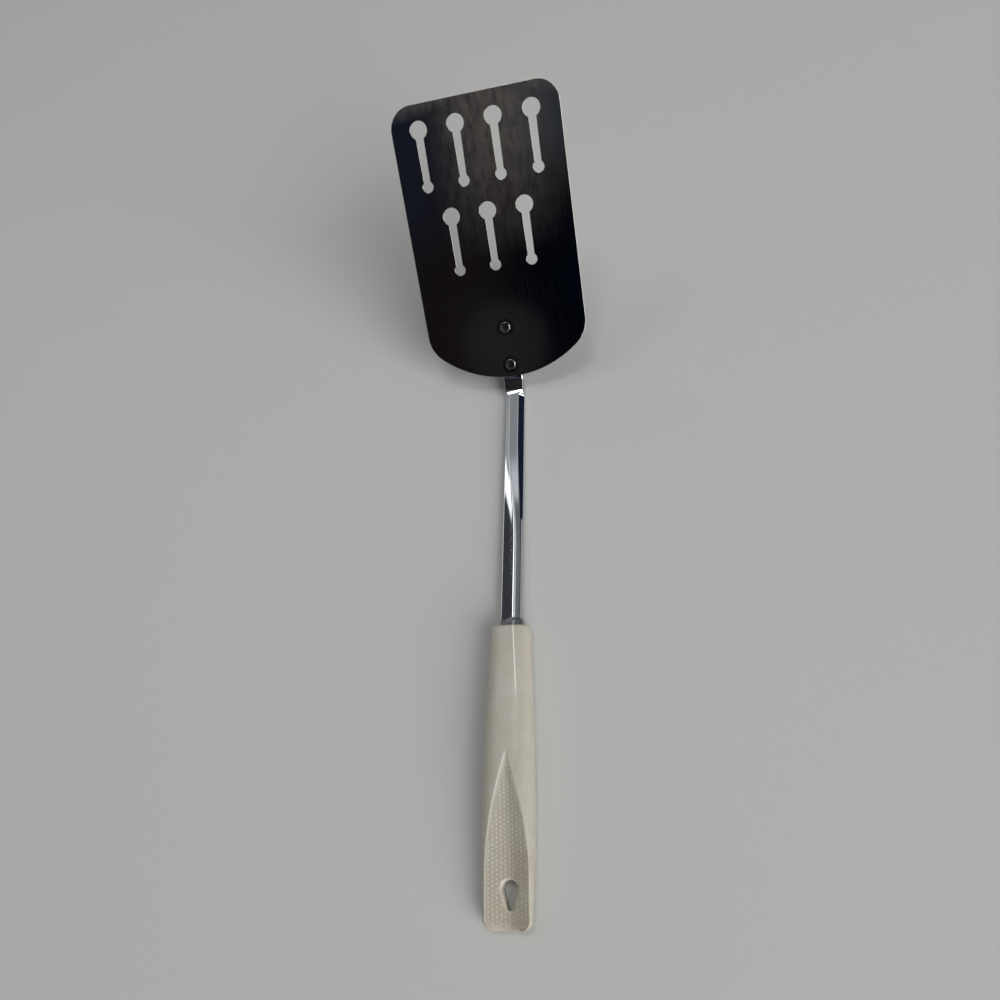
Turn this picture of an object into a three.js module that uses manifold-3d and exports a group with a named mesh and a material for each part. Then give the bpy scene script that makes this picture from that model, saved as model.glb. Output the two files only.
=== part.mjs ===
// Slotted turner at rest on a table: a thin steel blade with keyhole slots is held by two rivets
// on the flattened tongue of a bent steel shank, and the shank's tang is moulded into a plastic handle.
// Millimetres, +Z up from the table, +Y from the handle towards the blade's front edge.
import * as THREE from 'three';
import { mergeVertices } from 'three/addons/utils/BufferGeometryUtils.js';
import Module from 'manifold-3d';

// Clearances between separate pieces
const seatGap = 0.3;
const holeClearance = 0.3;
const pocketClearance = 0.3;

// Blade, cut from flat sheet
const bladeWidth = 76;
const bladeLength = 123.8;
const bladeThickness = 0.8;
const frontCornerRadius = 10;
const heelRadius = 51;
const heelCornerRadius = 15;

// Keyhole slots: a large round end towards the front, a narrowing neck and a small round end
const slotPitch = 17;
const slotLength = 23.6;
const slotFrontMargin = 10.5;
const slotRowStep = 37.7;
const slotRowCounts = [4, 3];
const slotLargeRadius = 3.9;
const slotSmallRadius = 2.5;
const slotNeckFrontWidth = 3.5;
const slotNeckRearWidth = 2.9;

// Rivets on the blade's centre line
const rivetShaftRadius = 1.6;
const rivetHeadRadius = 2.4;
const rivetHeadHeight = 0.9;
const rivetTailRadius = 2.7;
const rivetTailHeight = 0.8;
const rearRivetFromHeel = 5.9;
const rivetPitch = 17.6;

// Shank: tongue under the blade, bend, and a bar that runs to the handle
const bendAngle = THREE.MathUtils.degToRad(46.3);
const bendOuterRadius = 4.6;
const padLength = 6.5;
const tongueWidth = 9.2;
const tongueThickness = 2.4;
const tongueEdgeBreak = 0.35;
const tonguePastRivet = 5.6;
const barLength = 117.6;
const barWidth = 9.1;
const barHeight = 4.1;
const barFlatWidth = 4.1;
const barWallHeight = 1.6;
const barSwellLength = 5;
const ridgeOffset = 1.35;
const ridgeStart = 28;
const ridgeEnd = 80;
const browFromSide = 0.65;
const browHeight = 3.0;
const browStart = 24;
const browEnd = 70;
const shoulderLength = 3.6;
const shoulderSwell = 0.35;

// Tang inside the handle, with a lock hole that the plastic fills
const tangLength = 60;
const tangWidth = 6.4;
const tangTipWidth = 4.6;
const tangThickness = 3;
const tangRise = 0.9;
const lockHoleRadius = 1.7;
const lockFromFront = 40;

// Handle, moulded over the tang
const handleLength = 109.5;
const handleFrontWidth = 16.3;
const handleBellyWidth = 19.9;
const handleButtWidth = 17.8;
const bellyFromFront = 74;
const handleFrontHeight = 10.2;
const handleBellyHeight = 12.2;
const crestFromFront = 48.5;
const handleButtHeight = 7.2;
const handleSideHeight = 4.2;
const handleLowerRadius = 2.2;
const handleCrownPower = 3;
const frontEdgeRadius = 1;
const buttCornerRadius = 3.6;
const barFloorAtHandle = 2.9;

// Grip recess: a round-bottomed valley that opens and sinks towards the butt
const recessFromFront = 45.5;
const recessSinkLength = 62;
const recessDepth = 8;
const recessSlope = THREE.MathUtils.degToRad(18);
const recessBottomRadius = 2.2;

// Teardrop hang hole, wide end towards the shank
const hangHoleRadius = 3;
const hangHoleTipRadius = 1.35;
const hangHoleSpacing = 5.5;
const hangHoleFromButt = 13.2;

// Smoothness of round stretches
const arcSteps = 10;
const ringSteps = 24;
const barSteps = 16;
const bendSteps = 8;
const cornerSteps = 4;
const crownSteps = 14;
const recessSteps = 12;

const wasm = await Module();
wasm.setup();

// Turns a closed geometry into a solid that can be cut and joined.
function toSolid(geometry) {
  const bare = geometry.clone();
  bare.deleteAttribute('normal');
  bare.deleteAttribute('uv');
  const merged = mergeVertices(bare, 1e-4);
  return new wasm.Manifold(new wasm.Mesh({
    numProp: 3,
    vertProperties: new Float32Array(merged.attributes.position.array),
    triVerts: new Uint32Array(merged.index.array),
  }));
}

// Turns a solid back into a geometry with flat-shaded faces.
function toGeometry(solid) {
  const mesh = solid.getMesh();
  const geometry = new THREE.BufferGeometry();
  geometry.setAttribute('position', new THREE.BufferAttribute(new Float32Array(mesh.vertProperties), 3));
  geometry.setIndex(new THREE.BufferAttribute(new Uint32Array(mesh.triVerts), 1));
  const flat = geometry.toNonIndexed();
  flat.computeVertexNormals();
  return flat;
}

// Skins a row of convex rings, each with the same number of points, and closes both ends.
// A ring runs along its underside towards +X first, and the rings follow each other towards +Y.
function loft(rings) {
  const count = rings[0].length;
  const positions = [];
  const triangle = (a, b, c) => positions.push(...a.toArray(), ...b.toArray(), ...c.toArray());
  for (let i = 0; i + 1 < rings.length; i += 1) {
    for (let k = 0; k < count; k += 1) {
      const next = (k + 1) % count;
      triangle(rings[i][k], rings[i + 1][k], rings[i][next]);
      triangle(rings[i][next], rings[i + 1][k], rings[i + 1][next]);
    }
  }
  const first = rings[0];
  const last = rings[rings.length - 1];
  for (let k = 1; k + 1 < count; k += 1) {
    triangle(first[0], first[k], first[k + 1]);
    triangle(last[0], last[k + 1], last[k]);
  }
  const geometry = new THREE.BufferGeometry();
  geometry.setAttribute('position', new THREE.Float32BufferAttribute(positions, 3));
  geometry.computeVertexNormals();
  return geometry;
}

// A closed polygon extruded upwards from a height.
function prism(shape, bottom, top) {
  const geometry = new THREE.ExtrudeGeometry(shape, {
    depth: top - bottom,
    bevelEnabled: false,
    curveSegments: arcSteps,
  });
  return geometry.translate(0, 0, bottom);
}

// An upright cylinder between two heights.
function post(radius, x, y, bottom, top) {
  const geometry = new THREE.CylinderGeometry(radius, radius, top - bottom, ringSteps);
  geometry.rotateX(Math.PI / 2);
  return geometry.translate(x, y, (bottom + top) / 2);
}

const blend = (from, to, share) => from + (to - from) * share;
const ease = (value, start, end) => THREE.MathUtils.smoothstep(value, start, end);

// The underside of the shank is one line: tang and bar slope down to the bend, which touches the table,
// and the tongue climbs from there under the blade.
const barTilt = Math.asin(barFloorAtHandle / barLength);
const bladeTilt = bendAngle - barTilt;

// A place on that line, with the direction square to it that points out of the upper face.
function barPlace(distance) {
  const y = -bendOuterRadius * Math.sin(barTilt) - distance * Math.cos(barTilt);
  const z = bendOuterRadius * (1 - Math.cos(barTilt)) + distance * Math.sin(barTilt);
  return { point: new THREE.Vector3(0, y, z), angle: -barTilt };
}

function bendPlace(angle) {
  const y = bendOuterRadius * Math.sin(angle);
  const z = bendOuterRadius * (1 - Math.cos(angle));
  return { point: new THREE.Vector3(0, y, z), angle };
}

function tonguePlace(distance) {
  const { point } = bendPlace(bladeTilt);
  const along = new THREE.Vector3(0, Math.cos(bladeTilt), Math.sin(bladeTilt));
  return { point: point.addScaledVector(along, distance), angle: bladeTilt };
}

// One ring of the shank: a flat underside, two upright walls and two slopes up to the top face,
// which lies between a left and a right edge.
function shankRing(place, { width, wall, left, right, rise = 0 }) {
  const w = width / 2;
  const outline = [[-w, 0], [w, 0], [w, wall], right, left, [-w, wall]];
  return outline.map(([x, z]) => new THREE.Vector3(
    x,
    place.point.y - (z + rise) * Math.sin(place.angle),
    place.point.z + (z + rise) * Math.cos(place.angle),
  ));
}

// A level top face of the given width and height.
function levelTop(flat, height) {
  return { left: [-flat / 2, height], right: [flat / 2, height] };
}

// The tang from its tip to the handle's front face, grown on every side by a clearance,
// and drawn out past the face by a reach.
function tangRings(grow, reach) {
  const ring = (distance, width) => shankRing(barPlace(distance), {
    width: width + 2 * grow,
    wall: tangThickness + 2 * grow - tongueEdgeBreak,
    ...levelTop(width + 2 * grow - tongueEdgeBreak, tangThickness + 2 * grow),
    rise: tangRise - grow,
  });
  return [
    ring(barLength + tangLength + grow, tangTipWidth),
    ring(barLength - reach, tangWidth),
  ];
}

// The bar's ring at a distance from the bend. The top is level by the bend; further on its left edge
// moves over to become a ridge, and its right edge moves out and down to a brow over the side.
function barRing(distance) {
  const swell = ease(distance, 0, barSwellLength);
  const ridge = ease(distance, ridgeStart, ridgeEnd);
  const brow = ease(distance, browStart, browEnd);
  const shoulder = shoulderSwell * ease(distance, barLength - shoulderLength, barLength);
  const top = blend(tongueThickness, barHeight, swell);
  return shankRing(barPlace(distance), {
    width: barWidth + 2 * shoulder,
    wall: barWallHeight + shoulder,
    left: [blend(-barFlatWidth / 2, ridgeOffset, ridge), top + shoulder],
    right: [
      blend(barFlatWidth / 2, barWidth / 2 - browFromSide, brow) + shoulder,
      blend(top, browHeight, brow) + shoulder,
    ],
  });
}

// Rings round the bend, from the bar's section to the flat pad.
function bendRings() {
  const rings = [];
  for (let i = 1; i <= bendSteps; i += 1) {
    const share = i / bendSteps;
    rings.push(shankRing(bendPlace(blend(-barTilt, bladeTilt, share)), {
      width: blend(barWidth, tongueWidth, share),
      wall: blend(barWallHeight, tongueThickness - tongueEdgeBreak, ease(share, 0, 1)),
      ...levelTop(blend(barFlatWidth, tongueWidth - tongueEdgeBreak, ease(share, 0, 1)), tongueThickness),
    }));
  }
  return rings;
}

const heelY = padLength;
const rearRivetY = heelY + rearRivetFromHeel;
const rivetYs = [rearRivetY + rivetPitch, rearRivetY];
const tongueEnd = rivetYs[0] + tonguePastRivet;

// Rings of the flat tongue, closing in on its round end.
function tongueRings() {
  const rings = [];
  const steps = 2 * cornerSteps;
  for (let i = 0; i < steps; i += 1) {
    const turn = (i / steps) * (Math.PI / 2);
    const width = tongueWidth * Math.cos(turn);
    const place = tonguePlace(tongueEnd - (tongueWidth / 2) * (1 - Math.sin(turn)));
    rings.push(shankRing(place, {
      width,
      wall: tongueThickness - tongueEdgeBreak,
      ...levelTop(width * (1 - tongueEdgeBreak / tongueWidth), tongueThickness),
    }));
  }
  return rings;
}

// Blade and rivets share the tongue's own frame: Y along it from the end of the bend, Z out of its face.
const tongueFrame = new THREE.Group();
tongueFrame.position.copy(tonguePlace(0).point);
tongueFrame.rotation.x = bladeTilt;
tongueFrame.updateMatrixWorld(true);

function shankGeometry() {
  const barRings = [];
  for (let i = 0; i <= barSteps; i += 1) {
    barRings.push(barRing(barLength * (1 - i / barSteps)));
  }
  const shoulderRing = barRing(barLength - shoulderLength);
  barRings.splice(1, 0, shoulderRing);
  const body = loft([...tangRings(0, 0), ...barRings, ...bendRings(), ...tongueRings()]);
  let solid = toSolid(body);
  for (const y of rivetYs) {
    const hole = post(rivetShaftRadius + holeClearance, 0, y, -tongueThickness, 2 * tongueThickness);
    solid = solid.subtract(toSolid(hole.applyMatrix4(tongueFrame.matrixWorld)));
  }
  const lockPlace = barPlace(barLength + lockFromFront).point;
  const lockReach = 2 * (tangRise + tangThickness);
  const lockHole = post(lockHoleRadius, 0, lockPlace.y, lockPlace.z - lockReach, lockPlace.z + lockReach);
  return toGeometry(solid.subtract(toSolid(lockHole)));
}

// A keyhole slot outline with its large end at the given centre.
function keyhole(x, y) {
  const frontNeck = Math.asin(slotNeckFrontWidth / 2 / slotLargeRadius);
  const rearNeck = Math.asin(slotNeckRearWidth / 2 / slotSmallRadius);
  const quarter = Math.PI / 2;
  const path = new THREE.Path();
  path.absarc(x, y, slotLargeRadius, -quarter + frontNeck, 3 * quarter - frontNeck, false);
  path.absarc(x, y - slotLength, slotSmallRadius, quarter + rearNeck, 5 * quarter - rearNeck, false);
  return path;
}

// The blade's outline: straight front and sides, round front corners and a curved heel.
function bladeGeometry() {
  const half = bladeWidth / 2;
  const front = heelY + bladeLength;
  const heelCentre = heelY + heelRadius;
  const cornerX = half - heelCornerRadius;
  const cornerDrop = Math.sqrt((heelRadius - heelCornerRadius) ** 2 - cornerX ** 2);
  const cornerY = heelCentre - cornerDrop;
  const cornerAngle = Math.atan2(-cornerDrop, cornerX);
  const frontX = half - frontCornerRadius;
  const frontY = front - frontCornerRadius;
  const shape = new THREE.Shape();
  shape.absarc(frontX, frontY, frontCornerRadius, 0, Math.PI / 2, false);
  shape.absarc(-frontX, frontY, frontCornerRadius, Math.PI / 2, Math.PI, false);
  shape.absarc(-cornerX, cornerY, heelCornerRadius, Math.PI, Math.PI - cornerAngle, false);
  shape.absarc(0, heelCentre, heelRadius, -Math.PI - cornerAngle, cornerAngle, false);
  shape.absarc(cornerX, cornerY, heelCornerRadius, cornerAngle, 0, false);
  slotRowCounts.forEach((count, row) => {
    const y = front - slotFrontMargin - row * slotRowStep;
    for (let i = 0; i < count; i += 1) {
      shape.holes.push(keyhole((i - (count - 1) / 2) * slotPitch, y));
    }
  });
  for (const y of rivetYs) {
    const hole = new THREE.Path();
    hole.absarc(0, y, rivetShaftRadius + holeClearance, 0, 2 * Math.PI, false);
    shape.holes.push(hole);
  }
  const bottom = tongueThickness + seatGap;
  return prism(shape, bottom, bottom + bladeThickness);
}

// A rivet: low domed head on the blade, shaft through blade and tongue, flat tail under the tongue.
function rivetGeometry() {
  const headSeat = tongueThickness + seatGap + bladeThickness + seatGap;
  const tailSeat = -seatGap;
  const tailEdge = rivetTailHeight / 2;
  const profile = [
    new THREE.Vector2(0, tailSeat - rivetTailHeight),
    new THREE.Vector2(rivetTailRadius - tailEdge, tailSeat - rivetTailHeight),
    new THREE.Vector2(rivetTailRadius, tailSeat - tailEdge),
    new THREE.Vector2(rivetTailRadius, tailSeat),
    new THREE.Vector2(rivetShaftRadius, tailSeat),
    new THREE.Vector2(rivetShaftRadius, headSeat),
  ];
  const domeSteps = cornerSteps + 1;
  for (let i = 0; i < domeSteps; i += 1) {
    const turn = (i / domeSteps) * (Math.PI / 2);
    profile.push(new THREE.Vector2(
      rivetHeadRadius * Math.cos(turn),
      headSeat + rivetHeadHeight * Math.sin(turn),
    ));
  }
  profile.push(new THREE.Vector2(0, headSeat + rivetHeadHeight));
  const geometry = new THREE.LatheGeometry(profile, ringSteps);
  return geometry.rotateX(Math.PI / 2);
}

// The handle's front face stands a seat's gap behind the shank's shoulder.
const handleFrontY = barPlace(barLength).point.y - seatGap;

// Plan width and height along the handle, from smooth curves through front, belly and butt.
function handleWidth(distance) {
  if (distance < bellyFromFront) {
    const share = Math.sin((distance / bellyFromFront) * (Math.PI / 2));
    return blend(handleFrontWidth, handleBellyWidth, share);
  }
  const share = (distance - bellyFromFront) / (handleLength - bellyFromFront);
  return blend(handleBellyWidth, handleButtWidth, share ** 2);
}

function handleHeight(distance) {
  if (distance < crestFromFront) {
    const share = Math.sin((distance / crestFromFront) * (Math.PI / 2));
    return blend(handleFrontHeight, handleBellyHeight, share);
  }
  const share = (distance - crestFromFront) / (handleLength - crestFromFront);
  return blend(handleBellyHeight, handleButtHeight, share ** 1.5);
}

// One ring of the handle: flat underside with round lower edges, low walls and a crowned top.
// The ring is drawn in by an inset at the front edge and the butt.
function handleRing(distance, sideInset, topInset) {
  const half = handleWidth(distance) / 2 - sideInset;
  const top = handleHeight(distance) - topInset;
  const y = handleFrontY - distance;
  const points = [];
  for (let i = 0; i <= cornerSteps; i += 1) {
    const turn = (i / cornerSteps) * (Math.PI / 2);
    points.push([
      half - handleLowerRadius * (1 - Math.sin(turn)),
      handleLowerRadius * (1 - Math.cos(turn)),
    ]);
  }
  for (let i = 0; i <= crownSteps; i += 1) {
    const turn = (i / crownSteps) * (Math.PI / 2);
    points.push([
      half * Math.cos(turn) ** (2 / handleCrownPower),
      blend(handleSideHeight, top, Math.sin(turn) ** (2 / handleCrownPower)),
    ]);
  }
  const mirrored = points.slice(0, -1).reverse().map(([x, z]) => [-x, z]);
  return [...points, ...mirrored].map(([x, z]) => new THREE.Vector3(x, y, z));
}

function handleBody() {
  const rings = [];
  const buttStart = handleLength - buttCornerRadius;
  for (let i = 2 * cornerSteps - 1; i > 0; i -= 1) {
    const turn = (i / (2 * cornerSteps)) * (Math.PI / 2);
    const inset = buttCornerRadius * (1 - Math.cos(turn));
    rings.push(handleRing(buttStart + buttCornerRadius * Math.sin(turn), inset, inset / 4));
  }
  for (let i = barSteps; i > 0; i -= 1) {
    rings.push(handleRing(blend(frontEdgeRadius, buttStart, i / barSteps), 0, 0));
  }
  for (let i = 0; i <= cornerSteps; i += 1) {
    const turn = (i / cornerSteps) * (Math.PI / 2);
    const inset = frontEdgeRadius * (1 - Math.cos(turn));
    rings.push(handleRing(frontEdgeRadius * (1 - Math.sin(turn)), inset, inset));
  }
  return loft(rings);
}

// The valley that is cut out of the top: its floor line sinks from the crown towards the butt.
function recessCutter() {
  const rings = [];
  const past = handleLength + buttCornerRadius;
  const reach = handleBellyWidth;
  for (let i = recessSteps; i >= 0; i -= 1) {
    const distance = blend(recessFromFront, past, i / recessSteps);
    const sink = ease(distance, recessFromFront, recessFromFront + recessSinkLength);
    const floor = handleBellyHeight - recessDepth * sink;
    const ring = [];
    for (let k = -cornerSteps; k <= cornerSteps; k += 1) {
      const x = reach * (k / cornerSteps) * Math.abs(k / cornerSteps);
      const climb = Math.hypot(x, recessBottomRadius) - recessBottomRadius;
      ring.push(new THREE.Vector3(x, handleFrontY - distance, floor + climb * Math.tan(recessSlope)));
    }
    rings.push(ring);
  }
  return loft(rings);
}

// The teardrop outline is two round ends joined by their common tangents.
function hangHoleCutter() {
  const wideY = handleFrontY - handleLength + hangHoleFromButt;
  const tipY = wideY - hangHoleSpacing;
  const lean = Math.asin((hangHoleRadius - hangHoleTipRadius) / hangHoleSpacing);
  const shape = new THREE.Shape();
  shape.absarc(0, wideY, hangHoleRadius, -lean, Math.PI + lean, false);
  shape.absarc(0, tipY, hangHoleTipRadius, Math.PI + lean, 2 * Math.PI - lean, false);
  return prism(shape, -handleButtHeight, 2 * handleBellyHeight);
}

function handleGeometry() {
  const pocket = loft(tangRings(pocketClearance, 2 * seatGap));
  const lockPlace = barPlace(barLength + lockFromFront).point;
  const lockPin = post(
    lockHoleRadius - holeClearance,
    0,
    lockPlace.y,
    lockPlace.z,
    lockPlace.z + tangRise + tangThickness + 2 * pocketClearance,
  );
  const solid = toSolid(handleBody())
    .subtract(toSolid(recessCutter()))
    .subtract(toSolid(hangHoleCutter()))
    .subtract(toSolid(pocket))
    .add(toSolid(lockPin));
  return toGeometry(solid);
}

// Finishes
const polishedSteel = new THREE.MeshStandardMaterial({ color: 0x8f8d8b, roughness: 0.25, metalness: 1 });
const rivetSteel = new THREE.MeshStandardMaterial({ color: 0x7c7a78, roughness: 0.35, metalness: 1 });
const platedSteel = new THREE.MeshStandardMaterial({ color: 0xc8c9cc, roughness: 0.12, metalness: 1 });
const ivoryPlastic = new THREE.MeshStandardMaterial({ color: 0xd9d3c2, roughness: 0.5, metalness: 0 });

function named(name, geometry, material) {
  const mesh = new THREE.Mesh(geometry, material);
  mesh.name = name;
  return mesh;
}

const turner = new THREE.Group();
turner.add(tongueFrame);
tongueFrame.add(named('blade', bladeGeometry(), polishedSteel));
['front_rivet', 'rear_rivet'].forEach((name, i) => {
  const rivet = named(name, rivetGeometry(), rivetSteel);
  rivet.position.y = rivetYs[i];
  tongueFrame.add(rivet);
});
turner.add(named('shank', shankGeometry(), platedSteel));
turner.add(named('handle', handleGeometry(), ivoryPlastic));

// The origin is under the middle of the whole turner, on the table.
const box = new THREE.Box3().setFromObject(turner);
const middle = box.getCenter(new THREE.Vector3());
turner.position.set(-middle.x, -middle.y, -box.min.z);
turner.updateMatrixWorld(true);

export default turner;
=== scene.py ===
import math

import bmesh
import bpy
from mathutils import Matrix, Vector


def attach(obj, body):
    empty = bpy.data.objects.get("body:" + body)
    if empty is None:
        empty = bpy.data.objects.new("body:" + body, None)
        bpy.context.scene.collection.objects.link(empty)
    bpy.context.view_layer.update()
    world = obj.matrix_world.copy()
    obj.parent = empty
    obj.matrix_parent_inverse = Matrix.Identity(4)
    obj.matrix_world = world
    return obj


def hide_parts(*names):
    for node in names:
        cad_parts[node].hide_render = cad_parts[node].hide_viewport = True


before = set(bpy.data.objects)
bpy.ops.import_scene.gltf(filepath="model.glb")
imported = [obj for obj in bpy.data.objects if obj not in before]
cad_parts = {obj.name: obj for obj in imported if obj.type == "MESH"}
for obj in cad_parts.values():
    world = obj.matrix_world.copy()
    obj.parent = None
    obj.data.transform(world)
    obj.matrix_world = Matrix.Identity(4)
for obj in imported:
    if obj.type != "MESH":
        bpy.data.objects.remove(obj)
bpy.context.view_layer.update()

# Shank: one steel bar. It is forged flat into a tongue under the blade, bent, and pressed along its length
# so that a flat top runs over into a ridge. It is polished and chrome plated, and its tang goes on inside
# the handle that is moulded round it.
mm = 0.001
# Sizes are in millimetres. Distances on the bar run back from the bend, and those on the tongue run on.
# A run is where a change starts and where it is complete, and a round is how far an edge is cut back.
bend_y = 66.875
bend_radius = 4.6
bend_line_y = -0.9
bend_skew = 0.28
bend_blend = 0.8
ramp_slope = 0.5
ramp_reach = 12
bar_length = 117.6
bar_rise = 2.9
bar_width = 9.1
bar_height = 4.1
bar_flat = 4.1
bar_wall = 1.6
ridge_x = 1.35
ridge_run = (28, 80)
brow_slide = 1.27
brow_slide_share = 0.75
brow_x = 3.9
brow_height = 3.0
brow_run = (26, 84)
facet_hollow = 0.09
lower_round = 0.4
right_round = 0.3
brow_round = 0.4
flat_round = 0.3
ridge_round = 0.9
left_round = 0.35
shoulder_length = 3.6
shoulder_swell = 0.35
shoulder_rise = 1.3
droop_slope = 0.35
droop_run = (7, 4)
droop_end_run = (0, 1.5)
pad_run = (2.6, 0.8)
pad_edge = 0.5
pad_inset = 0.3
pad_round = 0.35
tongue_width = 9.2
tongue_thickness = 2.4
tongue_seat = 0.28
tongue_seat_run = (0.3, 2)
tongue_edge = 0.3
tongue_flat_share = 0.95
tongue_end = 35.6
heel_y = 6.5
rivet_ys = (30.0, 12.4)
tang_length = 60
tang_widths = (4.6, 5.5, 6.4)
tang_start = 0.02
tang_height = 3
tang_wall = 2.65
tang_inset = 0.35
tang_round = 0.2
tang_rise = 0.9
bar_tilt = math.asin(bar_rise / bar_length)
blade_tilt = math.radians(46.3) - bar_tilt


def ease(value, start, end):
    share = min(max((value - start) / (end - start), 0), 1)
    return share * share * (3 - 2 * share)


def mix(first, second, share):
    return first + (second - first) * share


def eased_outline(corners, hollow=0, steps=5, facet_steps=8):
    """A closed outline through (x, z, cut) corners, each rounded off over its cut on both sides.
    A point close by each round keeps the flats flat. The last side but one, the facet left of the ridge,
    may be pressed slightly hollow. On a short side, the cut and that point keep to a share of the side."""
    cut_share = 0.46
    lead = 0.02
    lead_share = 0.03
    arcs = []
    for index, (x, z, cut) in enumerate(corners):
        corner = Vector((x, z))
        before = Vector(corners[index - 1][:2]) - corner
        after = Vector(corners[(index + 1) % len(corners)][:2]) - corner
        start = corner + before.normalized() * min(cut, before.length * cut_share)
        end = corner + after.normalized() * min(cut, after.length * cut_share)
        shares = [step / steps for step in range(steps + 1)]
        arc = [start * (1 - s) ** 2 + corner * 2 * s * (1 - s) + end * s ** 2 for s in shares]
        lead_in = start + before.normalized() * min(lead, before.length * lead_share)
        lead_out = end + after.normalized() * min(lead, after.length * lead_share)
        arcs.append([lead_in] + arc + [lead_out])
    ridge_end, side_start = arcs[-2][-1], arcs[-1][0]
    along = side_start - ridge_end
    inward = Vector((-along.y, along.x)).normalized()
    facet = []
    for step in range(1, facet_steps):
        share = step / facet_steps
        facet.append(ridge_end + along * share + inward * hollow * 4 * share * (1 - share))
    return [point for arc in arcs[:-1] for point in arc] + facet + arcs[-1]


def higher_of(first, second, blend):
    """The higher of two heights, with a round hollow where they cross."""
    share = min(max(0.5 + 0.5 * (first - second) / blend, 0), 1)
    return mix(second, first, share) + blend * share * (1 - share)


def top_height(y, z, angle, x):
    """How high the top stands over the underside line: level on the bar, then a ramp up to the heel.
    The line where they meet runs a little askew."""
    ramp = bar_height + ramp_slope * (y - bend_line_y - bend_skew * x) - z
    ramp /= math.cos(angle) + ramp_slope * math.sin(angle)
    return max(higher_of(bar_height, ramp, bend_blend) if angle < 0 else ramp, tongue_thickness)


def shank_ring(y, z, angle, corners, hollow=0, rise=0, top=None, droop=0):
    """One section of the shank, stood square on its underside line. By the bend its height is drawn
    from the top it was given to the height of the top face at each point. By the handle its left side
    droops back from the ridge."""
    ring = []
    for point in eased_outline(corners, hollow):
        height = point.y + rise
        if top:
            height *= top_height(y, z, angle, point.x) / top
        back = droop * max(ridge_x - point.x, 0)
        ring.append(Vector((
            point.x * mm,
            (bend_y + y - back - height * math.sin(angle)) * mm,
            (z + height * math.cos(angle)) * mm,
        )))
    return ring


def bar_line(distance):
    """A place on the bar's underside line, and how it leans there."""
    return (
        -bend_radius * math.sin(bar_tilt) - distance * math.cos(bar_tilt),
        bend_radius * (1 - math.cos(bar_tilt)) + distance * math.sin(bar_tilt),
        -bar_tilt,
    )


def bar_ring(distance):
    """One section of the bar. Away from the bend, the left edge of its flat top runs over into the ridge,
    the right edge slides down the side into the brow, and the shoulder swells by the handle. At the bend
    the top spreads to the width of the pad."""
    ridge = ease(distance, *ridge_run)
    brow = ease(distance, *brow_run)
    slide = brow_slide * min(brow / brow_slide_share, 1)
    turn_out = max(brow - brow_slide_share, 0) / (1 - brow_slide_share)
    shoulder_start = bar_length - shoulder_length
    swell = shoulder_swell * ease(distance, shoulder_start, shoulder_start + shoulder_rise)
    half = bar_width / 2 + swell
    wall = bar_wall + swell
    spread = ease(distance, *pad_run)
    wall = mix(wall, bar_height - pad_edge, spread)
    right_x = mix(mix(bar_flat / 2 + slide, brow_x, turn_out), tongue_width / 2 - pad_inset, spread)
    right_z = mix(bar_height - slide, brow_height, turn_out)
    left_x = mix(mix(-bar_flat / 2, ridge_x, ridge), pad_inset - tongue_width / 2, spread)
    droop = droop_slope * ease(distance, *(bar_length - run for run in droop_run))
    droop *= ease(distance, *(bar_length - run for run in droop_end_run))
    corners = [
        (-half, 0, lower_round),
        (half, 0, lower_round),
        (half, wall, right_round),
        (right_x + swell, right_z + swell, brow_round),
        (left_x, bar_height + swell, mix(flat_round, ridge_round, ridge)),
        (-half, wall, left_round),
    ]
    hollow = facet_hollow * (1 - spread)
    top = bar_height if distance < ramp_reach else None
    return shank_ring(*bar_line(distance), corners, hollow=hollow, top=top, droop=droop)


def bend_arc(angle):
    """A place on the underside line round the bend, and how it leans there."""
    return bend_radius * math.sin(angle), bend_radius * (1 - math.cos(angle)), angle


def tongue_line(along):
    """A place on the tongue's underside line, and how it leans there."""
    start_y, start_z, angle = bend_arc(blade_tilt)
    return start_y + along * math.cos(angle), start_z + along * math.sin(angle), angle


def flat_section(width, wall, flat, height, cut):
    half = width / 2
    return [
        (-half, 0, cut), (half, 0, cut), (half, wall, cut),
        (flat / 2, height, cut), (-flat / 2, height, cut), (-half, wall, cut),
    ]


def pad_section(width):
    return flat_section(width, bar_height - pad_edge, tongue_width - 2 * pad_inset, bar_height, pad_round)


def skin(name, rings):
    """A grid rolled round a row of rings, with its seam merged and both ends filled."""
    around = len(rings[0])
    bpy.ops.object.select_all(action="DESELECT")
    bpy.ops.mesh.primitive_grid_add(x_subdivisions=around, y_subdivisions=len(rings) - 1, size=1)
    piece = bpy.context.object
    piece.name = name
    for vertex in piece.data.vertices:
        row, column = divmod(vertex.index, around + 1)
        vertex.co = rings[row][column % around]
    bpy.ops.object.mode_set(mode="EDIT")
    bpy.ops.mesh.select_all(action="SELECT")
    bpy.ops.mesh.remove_doubles(threshold=1e-7)
    bpy.ops.mesh.fill_holes(sides=0)
    bpy.ops.mesh.select_all(action="SELECT")
    bpy.ops.mesh.normals_make_consistent(inside=False)
    bpy.ops.object.mode_set(mode="OBJECT")
    return piece


def smooth(piece, degrees):
    bpy.ops.object.select_all(action="DESELECT")
    piece.select_set(True)
    bpy.context.view_layer.objects.active = piece
    bpy.ops.object.shade_smooth_by_angle(angle=math.radians(degrees))


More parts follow.
